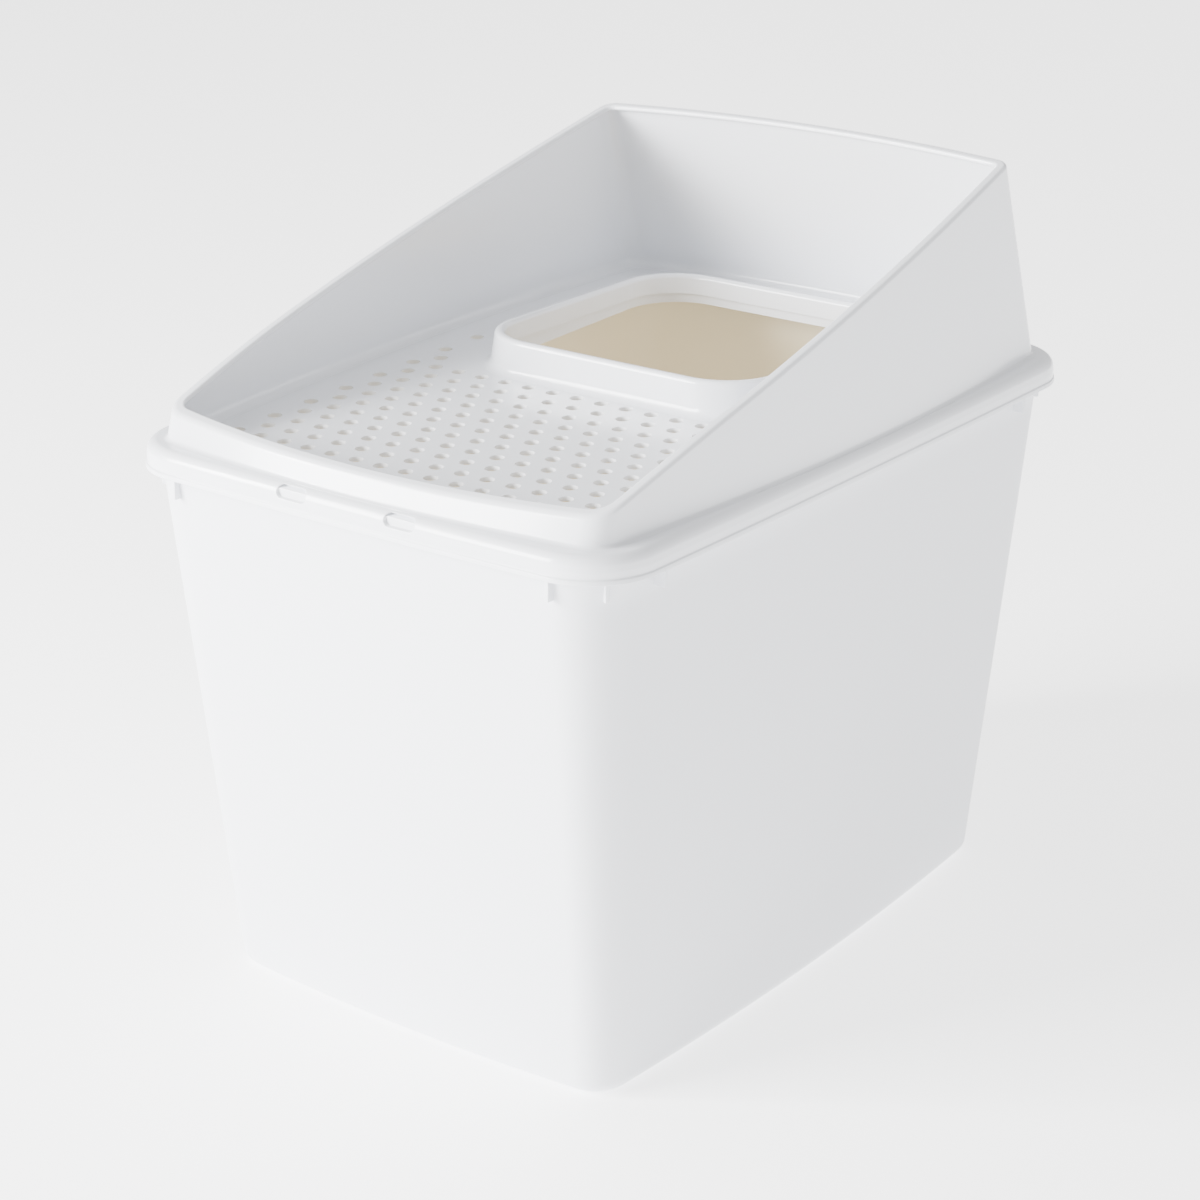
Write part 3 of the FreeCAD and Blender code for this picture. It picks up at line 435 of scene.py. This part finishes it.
def plastic(name, colour, gloss, grain, coat, dust, painted_glow=0.0):
    """Material of one moulded plastic, through the two shared groups; painted_glow is painted light: emission
    that makes the surface glow though it is no lamp, standing in for light coming through thin walls.
    """
    material = bpy.data.materials.new(name)
    material.use_nodes = True
    tree = material.node_tree
    shader = next(node for node in tree.nodes if node.type == "BSDF_PRINCIPLED")
    moulded = add(tree, "ShaderNodeGroup", node_tree=PLASTIC)
    moulded.inputs["Colour"].default_value = (*colour, 1)
    moulded.inputs["Gloss"].default_value = gloss
    moulded.inputs["Grain"].default_value = grain
    dusty = add(tree, "ShaderNodeGroup", node_tree=DUST)
    dusty.inputs["Amount"].default_value = dust
    tree.links.new(moulded.outputs["Base Color"], dusty.inputs["Base Color"])
    tree.links.new(moulded.outputs["Roughness"], dusty.inputs["Roughness"])
    tree.links.new(dusty.outputs["Base Color"], shader.inputs["Base Color"])
    tree.links.new(dusty.outputs["Roughness"], shader.inputs["Roughness"])
    bump = add(tree, "ShaderNodeBump")
    bump.inputs["Strength"].default_value = 0.25
    bump.inputs["Distance"].default_value = 0.00008
    tree.links.new(moulded.outputs["Height"], bump.inputs["Height"])
    tree.links.new(bump.outputs["Normal"], shader.inputs["Normal"])
    shader.inputs["IOR"].default_value = 1.49
    shader.inputs["Coat Weight"].default_value = coat
    shader.inputs["Coat Roughness"].default_value = 0.12
    # Emission paints light into the colour: a painted glow, not a lamp.
    shader.inputs["Emission Color"].default_value = (*colour, 1)
    shader.inputs["Emission Strength"].default_value = painted_glow
    return material


WHITE_TUB = plastic("white tub plastic", (0.79, 0.805, 0.84), gloss=0.36, grain=0.7, coat=0.0, dust=0.05)
WHITE_LID = plastic("white lid plastic", (0.80, 0.815, 0.85), gloss=0.2, grain=0.3, coat=0.35, dust=0.05)
# The bin's glow is painted light: emission brightens its inside where little lamp light reaches.
BEIGE_BIN = plastic("beige bin plastic with painted glow", (0.76, 0.68, 0.50), gloss=0.42, grain=0.7, coat=0.0, dust=0.08,
                    painted_glow=0.42)

# ---- tub and bin ---------------------------------------------------------------------------------------

AROUND = columns(26, 16)
WALL_STEPS = 13
FLOOR_SHARES = (0.35, 0.7, 0.93, 0.985)


def tray_profile(foot, top, inset, radius, steps=8):
    """Levels and insets up a tray's wall from its flat foot, round the bottom edge."""
    turn = np.linspace(0, QUARTER, steps + 1)
    level = np.concatenate([foot + radius * (1 - np.cos(turn)),
                            np.linspace(foot + radius, top, WALL_STEPS + 1)[1:]])
    narrow = np.concatenate([inset + radius * (1 - np.sin(turn)), np.full(WALL_STEPS, inset)])
    return level, narrow


def tray_rows(level, inset, around):
    """Rows of points of a tray's wall."""
    x, y = tub_ring(level, inset, around)
    return x, y, np.broadcast_to(level[:, None], x.shape)


def flat_rows(x, y, level, shares):
    """Rows of a flat floor: one outline shrunk towards its middle."""
    shares = np.asarray(shares, float)[:, None]
    return x * shares, y * shares, np.full((len(shares), x.shape[-1]), float(level))


def flange_rows(profile, wall_inset, reach, around):
    """Rows of a flange: in the profile, 0 is the wall's face and 1 the flange's edge; levels go with them."""
    out, level = profile[:, 0], profile[:, 1]
    out_x = -wall_inset + out * (reach[0] + wall_inset)
    out_y = -wall_inset + out * (reach[1] + wall_inset)
    x, y = tub_ring(np.full_like(level, TUB_HEIGHT), 0.0, around, (out_x, out_y))
    return x, y, np.broadcast_to(level[:, None], x.shape)


def make_vessel(name, foot, top, plate, inset, wall, radius, reach, body, slot, material):
    """Tray with a flat flange: outer face, flange, inner face and floor.

    The flange's edge is a half round, and both corners between flange and wall are small chamfers.
    """
    under, under_chamfer, mouth_chamfer = top - plate, 0.6, 0.8
    outer = tray_rows(*tray_profile(foot, under - under_chamfer, inset, radius), AROUND)
    bottom = flat_rows(outer[0][0], outer[1][0], foot, FLOOR_SHARES)
    reach_mean = (reach[0] + reach[1]) / 2 + inset
    edge = min(0.9, plate * 0.4) / reach_mean
    lip = np.array([(0.5 / reach_mean, under), (1 - 2 * edge, under), (1 - edge, under),
                    (1 - 0.3 * edge, under + 0.3 * plate), (1.0, under + 0.5 * plate),
                    (1 - 0.3 * edge, top - 0.3 * plate), (1 - edge, top), (1 - 2 * edge, top), (0.0, top)])
    flange = flange_rows(lip, inset, reach, AROUND)
    inner_level, inner_inset = tray_profile(foot + wall, top, inset + wall, radius - wall)
    inner_level = np.append(inner_level[:-1], [top - mouth_chamfer, top])
    inner_inset = np.append(inner_inset[:-1], [inset + wall, inset + wall - mouth_chamfer])
    inner = [part[::-1] for part in tray_rows(inner_level, inner_inset, AROUND)]
    floor = flat_rows(inner[0][-1], inner[1][-1], foot + wall, FLOOR_SHARES[::-1])
    rows = [np.concatenate(parts) for parts in zip(bottom, outer, flange, inner, floor)]
    return vessel_piece(name, *rows, body, slot, material)


tub = make_vessel("tub_shell", 0.0, TUB_HEIGHT, RIM_PLATE, 0.0, TUB_WALL, FOOT_ROUND, RIM_REACH,
                  "tub", "white_tub", WHITE_TUB)
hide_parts("tub")
inner_bin = make_vessel("litter_bin", BIN_FOOT, BIN_TOP, BIN_FLANGE, BIN_INSET, BIN_WALL, BIN_ROUND,
                        BIN_REACH, "bin", "beige_bin", BEIGE_BIN)
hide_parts("inner_bin")

# ---- fins and lugs -------------------------------------------------------------------------------------


def slab(middle, half, foot, top, turn, edge):
    """Upright slab with rounded edges: a rounded outline carried up, drawn in at both ends.

    Each row is the outline of a superellipse of power 8, in by r (1 - sin t) at r (1 - cos t) from the end.
    """
    power = 8
    angle = np.arange(64) / 64 * 2 * math.pi
    cosine, sine = np.cos(angle), np.sin(angle)
    reach = (np.abs(cosine) ** power + np.abs(sine) ** power) ** (-1 / power)
    curve = np.linspace(0, QUARTER, 5)
    narrow, rise = edge * (1 - np.sin(curve)), edge * (1 - np.cos(curve))
    inset = np.concatenate([narrow, narrow[::-1]])[:, None]
    level = np.concatenate([foot + rise, top - rise[::-1]])
    local_x = cosine * reach * (half[0] - inset)
    local_y = sine * reach * (half[1] - inset)
    x = middle[0] + local_x * math.cos(turn) - local_y * math.sin(turn)
    y = middle[1] + local_x * math.sin(turn) + local_y * math.cos(turn)
    return capped_tube(x, y, np.broadcast_to(level[:, None], x.shape), middle)


def slab_piece(name, slabs):
    """One mesh of several slabs on the tub."""
    points, faces, start = [], [], 0
    for slab_points, slab_faces in slabs:
        points.append(slab_points)
        faces += [face + start for face in slab_faces]
        start += len(slab_points)
    return make_mesh(name, np.concatenate(points), faces, "tub", WHITE_TUB)


def corner_fins(side, end):
    """The three fins at one corner of the tub: on the end wall, on the side wall and in the corner."""
    corner_centre = (TUB_HALF[0] - SIDE_BOW[0] - TUB_CORNER[0], TUB_HALF[1] - END_BOW[0] - TUB_CORNER[0])
    stand = TUB_CORNER[0] + CORNER_FIN_REACH - CORNER_FIN_HALF
    end_fin = (side * END_FIN_X, end * (TUB_HALF[1] + END_FIN_REACH - END_FIN_HALF))
    side_fin = (side * (TUB_HALF[0] + SIDE_FIN_REACH - SIDE_FIN_HALF), end * SIDE_FIN_Y)
    corner_fin = (side * (corner_centre[0] + stand * math.cos(CORNER_FIN_TURN)),
                  end * (corner_centre[1] + stand * math.sin(CORNER_FIN_TURN)))
    foot, top = SKIRT_FOOT - FIN_DROP, RIM_UNDER + 1
    return [slab(end_fin, (FIN_HALF, END_FIN_HALF), foot, top, 0.0, FIN_EDGE),
            slab(side_fin, (SIDE_FIN_HALF, FIN_HALF), foot, top, 0.0, FIN_EDGE),
            slab(corner_fin, (CORNER_FIN_HALF, FIN_HALF), foot, top, side * end * CORNER_FIN_TURN, FIN_EDGE)]


slab_piece("rim_fins", [fin for side in (1, -1) for end in (1, -1) for fin in corner_fins(side, end)])
slab_piece("hook_lugs", [
    slab((side * SLOT_PLACE, -(TUB_HALF[1] + RIM_REACH[1] - LUG_BACK)), LUG_HALF, RIM_UNDER + 0.3,
         TUB_HEIGHT + LUG_RISE, 0.0, LUG_EDGE) for side in (1, -1)])

# ---- hood ----------------------------------------------------------------------------------------------


def slot_places():
    """Extra places along the front, close together at the slots."""
    front_arc = 6
    coarse = front_arc + np.linspace(0, 1, 400, endpoint=False)
    front_x, _ = skirt_ring(np.array([LEDGE - SHOULDER]), 0.0, coarse)
    reach = SLOT_LENGTH / 2 + 3 * SLOT_EDGE
    wanted = np.concatenate([side * SLOT_PLACE + np.linspace(-reach, reach, 60) for side in (1, -1)])
    return np.interp(wanted, front_x[0], coarse)


HOOD_AROUND = columns(30, 18, slot_places())


def skirt_rows():
    """Insets and levels of the skirt: from the ledge's underside, down inside, round the lower edge with its
    bead, up to the end of the shoulder. Above the bead the face runs back out to the skirt's own line.
    """
    foot = SKIRT_FOOT
    edge = [(SKIRT_WALL, LEDGE - SKIRT_WALL), (SKIRT_WALL, foot + 0.9), (SKIRT_WALL, foot + 0.5),
            (SKIRT_WALL - 0.15, foot + 0.15), (SKIRT_WALL - 0.5, foot), (SKIRT_WALL - 0.9, foot),
            (0.9, foot), (0.5, foot), (0.15, foot + 0.15), (0.0, foot + 0.5), (0.0, foot + 0.9),
            (0.0, foot + 2.3), (0.0, foot + 2.7), (0.12, foot + 3.0), (0.4, foot + 3.25), (0.6, foot + 3.5),
            (BEAD_STEP, foot + BEAD_TOP)]
    low, high = foot + BEAD_TOP, LEDGE - SHOULDER
    slot_low = SLOT_TOP - SLOT_HEIGHT - SLOT_EDGE
    edge += [(BEAD_STEP * (1 - min(1, (level - low) / BEAD_RUN_OUT)), level)
             for level in np.linspace(low, slot_low - 0.4, 8)[1:]]
    edge += [(0.0, level) for level in np.arange(slot_low, high - 0.1, 0.4)]
    edge += [(SHOULDER * (1 - math.cos(angle)), high + SHOULDER * math.sin(angle))
             for angle in np.linspace(0, QUARTER, 17)]
    return np.array(edge)


def slotted(x, y, z):
    """Front surface with the two slots pressed in: shallow below the step, deeper above it.

    Inside a rounded bar the surface moves back to the slot's floor; the edge falls over half a millimetre.
    """
    middle = SLOT_TOP - SLOT_HEIGHT / 2
    flat = (SLOT_LENGTH - SLOT_HEIGHT) / 2
    along = np.clip(np.abs(np.abs(x) - SLOT_PLACE) - flat, 0, None)
    away = np.hypot(along, z - middle) - SLOT_HEIGHT / 2
    share = np.clip(0.5 - away / SLOT_EDGE, 0, 1)
    above = np.clip((z - SLOT_STEP) / SLOT_EDGE, 0, 1)
    floor = mix(SLOT_DEPTH, above) - SKIRT_HALF[1]
    return y + share * share * (3 - 2 * share) * np.clip(floor - y, 0, None)


def make_hood():
    """Hood in one closed ring: skirt, shoulder, ledge, outer wall, thick crest, inner wall and underside."""
    edge = skirt_rows()
    x, y = skirt_ring(edge[:, 1], edge[:, 0], HOOD_AROUND)
    z = np.broadcast_to(edge[:, 1][:, None], x.shape).copy()
    outside = (np.arange(len(edge)) > np.argmax(edge[:, 0] == 0.0))[:, None]
    front = (y < SLOT_DEPTH[1] - SKIRT_HALF[1] + SHOULDER) & outside
    y = np.where(front, slotted(x, y, z), y)
    rows = [(x, y, z)]

    # ledge: straight from the shoulder's end to the fillet at the wall's foot
    shoulder = (x[-1], y[-1], z[-1])
    bend = np.linspace(0, QUARTER, 7)
    fillet_up = WALL_FOOT_FILLET * (1 - np.cos(bend))
    fillet_out = WALL_FOOT_FILLET * (1 - np.sin(bend))
    foot_x, foot_y, foot_z = wall_point(fillet_up[:, None], -fillet_out, HOOD_AROUND)
    foot_z = np.broadcast_to(foot_z, foot_x.shape)
    for share in (0.15, 0.5, 0.85):
        rows.append(tuple((shoulder[axis] + (part[0] - shoulder[axis]) * share)[None]
                          for axis, part in enumerate((foot_x, foot_y, foot_z))))
    rows.append((foot_x, foot_y, foot_z))

    # outer wall up to the crest, as shares of the height between
    below = CREST_DEPTH + 5.0
    crest_profile = softened([(0.0, below), (0.0, 0.0), (CREST_WIDTH, 0.0), (CREST_WIDTH, CREST_DEPTH),
                              (HOOD_WALL, CREST_DEPTH), (HOOD_WALL, below)], CREST_RADII, 6)[1:-1]
    crest = leaning_point(crest_profile[:, 0], crest_profile[:, 1], HOOD_AROUND)
    start = [part[-1] for part in (foot_x, foot_y, foot_z)]
    climb = np.concatenate([[0.02, 0.06], np.linspace(0.14, 0.9, 7), [0.96]])[:, None]
    rows.append(tuple(start[axis] + (crest[axis][0] - start[axis]) * climb for axis in range(3)))
    rows.append(crest)

    # inner wall down to the fillet that runs out on the deck
    top = [part[-1] for part in crest]
    turn = np.linspace(0, QUARTER, 9)
    inner_inset = HOOD_WALL + DECK_FILLET * (1 - np.cos(turn))
    _, deck_y = wall_ring(np.full(9, DECK_TOP - LEDGE + 0.2), inner_inset, HOOD_AROUND)
    lift = (DECK_FILLET * (1 - np.sin(turn)))[:, None]
    up = DECK_TOP + DECK_LAP + DECK_SLOPE * deck_y + lift - LEDGE
    low = wall_point(up, inner_inset, HOOD_AROUND)
    descend = np.concatenate([[0.04], np.linspace(0.1, 0.9, 7), [0.96]])[:, None]
    rows.append(tuple(top[axis] + (low[axis][0] - top[axis]) * descend for axis in range(3)))
    rows.append(low)

    # thin hem on the deck, then back under it to the inner corner of the skirt
    hem_x, hem_y, hem_z = [part[-1:] for part in low]
    rows.append((hem_x, hem_y, hem_z - HEM))
    seat_x, seat_y, _ = wall_point(np.array([[-2 * SKIRT_WALL]]), np.array([HOOD_WALL + 0.5]), HOOD_AROUND)
    rows.append((seat_x, seat_y, np.full_like(seat_x, LEDGE - SKIRT_WALL)))
    parts = [np.concatenate([row[axis] for row in rows]) for axis in range(3)]
    return ring_piece("hood_shell", *parts, "lid", "white_lid", WHITE_LID)


hood = make_hood()
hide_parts("hood")

# ---- deck ----------------------------------------------------------------------------------------------

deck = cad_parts["deck"]
deck.data.materials.clear()
deck.data.materials.append(WHITE_LID)

# ---- floor, light and camera ---------------------------------------------------------------------------


def emitter(name, middle, size, aim, power):
    """Soft area light, turned towards a point."""
    lamp = bpy.data.lights.new(name, "AREA")
    lamp.shape = "RECTANGLE"
    lamp.size, lamp.size_y = size
    lamp.energy = power
    thing = bpy.data.objects.new(name, lamp)
    thing.location = middle
    direction = Vector(aim) - Vector(middle)
    thing.rotation_euler = direction.to_track_quat("-Z", "Y").to_euler()
    bpy.context.scene.collection.objects.link(thing)
    return thing


def make_floor():
    """Pale floor under the box."""
    material = bpy.data.materials.new("pale floor")
    material.use_nodes = True
    shader = next(node for node in material.node_tree.nodes if node.type == "BSDF_PRINCIPLED")
    shader.inputs["Base Color"].default_value = (0.97, 0.97, 0.97, 1)
    shader.inputs["Roughness"].default_value = 0.8
    shader.inputs["Emission Color"].default_value = (1, 1, 1, 1)
    shader.inputs["Emission Strength"].default_value = 2.0
    mesh = bpy.data.meshes.new("floor")
    reach = 9.0
    mesh.from_pydata([(-reach, -reach, 0), (reach, -reach, 0), (reach, reach, 0), (-reach, reach, 0)], [],
                     [(0, 1, 2, 3)])
    mesh.materials.append(material)
    floor = bpy.data.objects.new("floor", mesh)
    bpy.context.scene.collection.objects.link(floor)


def make_surroundings():
    """Even white light from all round."""
    world = bpy.data.worlds.new("studio")
    bpy.context.scene.world = world
    world.use_nodes = True
    background = next(node for node in world.node_tree.nodes if node.type == "BACKGROUND")
    background.inputs["Color"].default_value = (1, 1, 1, 1)
    background.inputs["Strength"].default_value = 1.15


make_floor()
make_surroundings()
target = (0.0, 0.0, 0.3)
emitter("key", (-1.7, -2.6, 1.1), (1.6, 1.6), target, 420)
emitter("left strip", (-1.9, -1.9, 1.6), (0.25, 1.4), target, 70)

CAMERA_PLACE = (1.0700, -1.4626, 0.9270)
CAMERA_TURN = math.radians(36.63)
CAMERA_RISE = math.radians(21.07)
CAMERA_ROLL = math.radians(0.20)


def make_camera():
    """Camera that looks at the front right corner from above."""
    back = Vector((math.sin(CAMERA_TURN) * math.cos(CAMERA_RISE),
                   -math.cos(CAMERA_TURN) * math.cos(CAMERA_RISE), math.sin(CAMERA_RISE)))
    level_right = Vector((math.cos(CAMERA_TURN), math.sin(CAMERA_TURN), 0))
    level_up = back.cross(level_right)
    right = level_right * math.cos(CAMERA_ROLL) + level_up * math.sin(CAMERA_ROLL)
    up = level_up * math.cos(CAMERA_ROLL) - level_right * math.sin(CAMERA_ROLL)
    lens = bpy.data.cameras.new("camera")
    lens.sensor_width = 36.0
    lens.lens = 85.4
    camera = bpy.data.objects.new("camera", lens)
    camera.matrix_world = Matrix([
        (right[axis], up[axis], back[axis], CAMERA_PLACE[axis]) for axis in range(3)] + [(0, 0, 0, 1)])
    bpy.context.scene.collection.objects.link(camera)
    bpy.context.scene.camera = camera


make_camera()
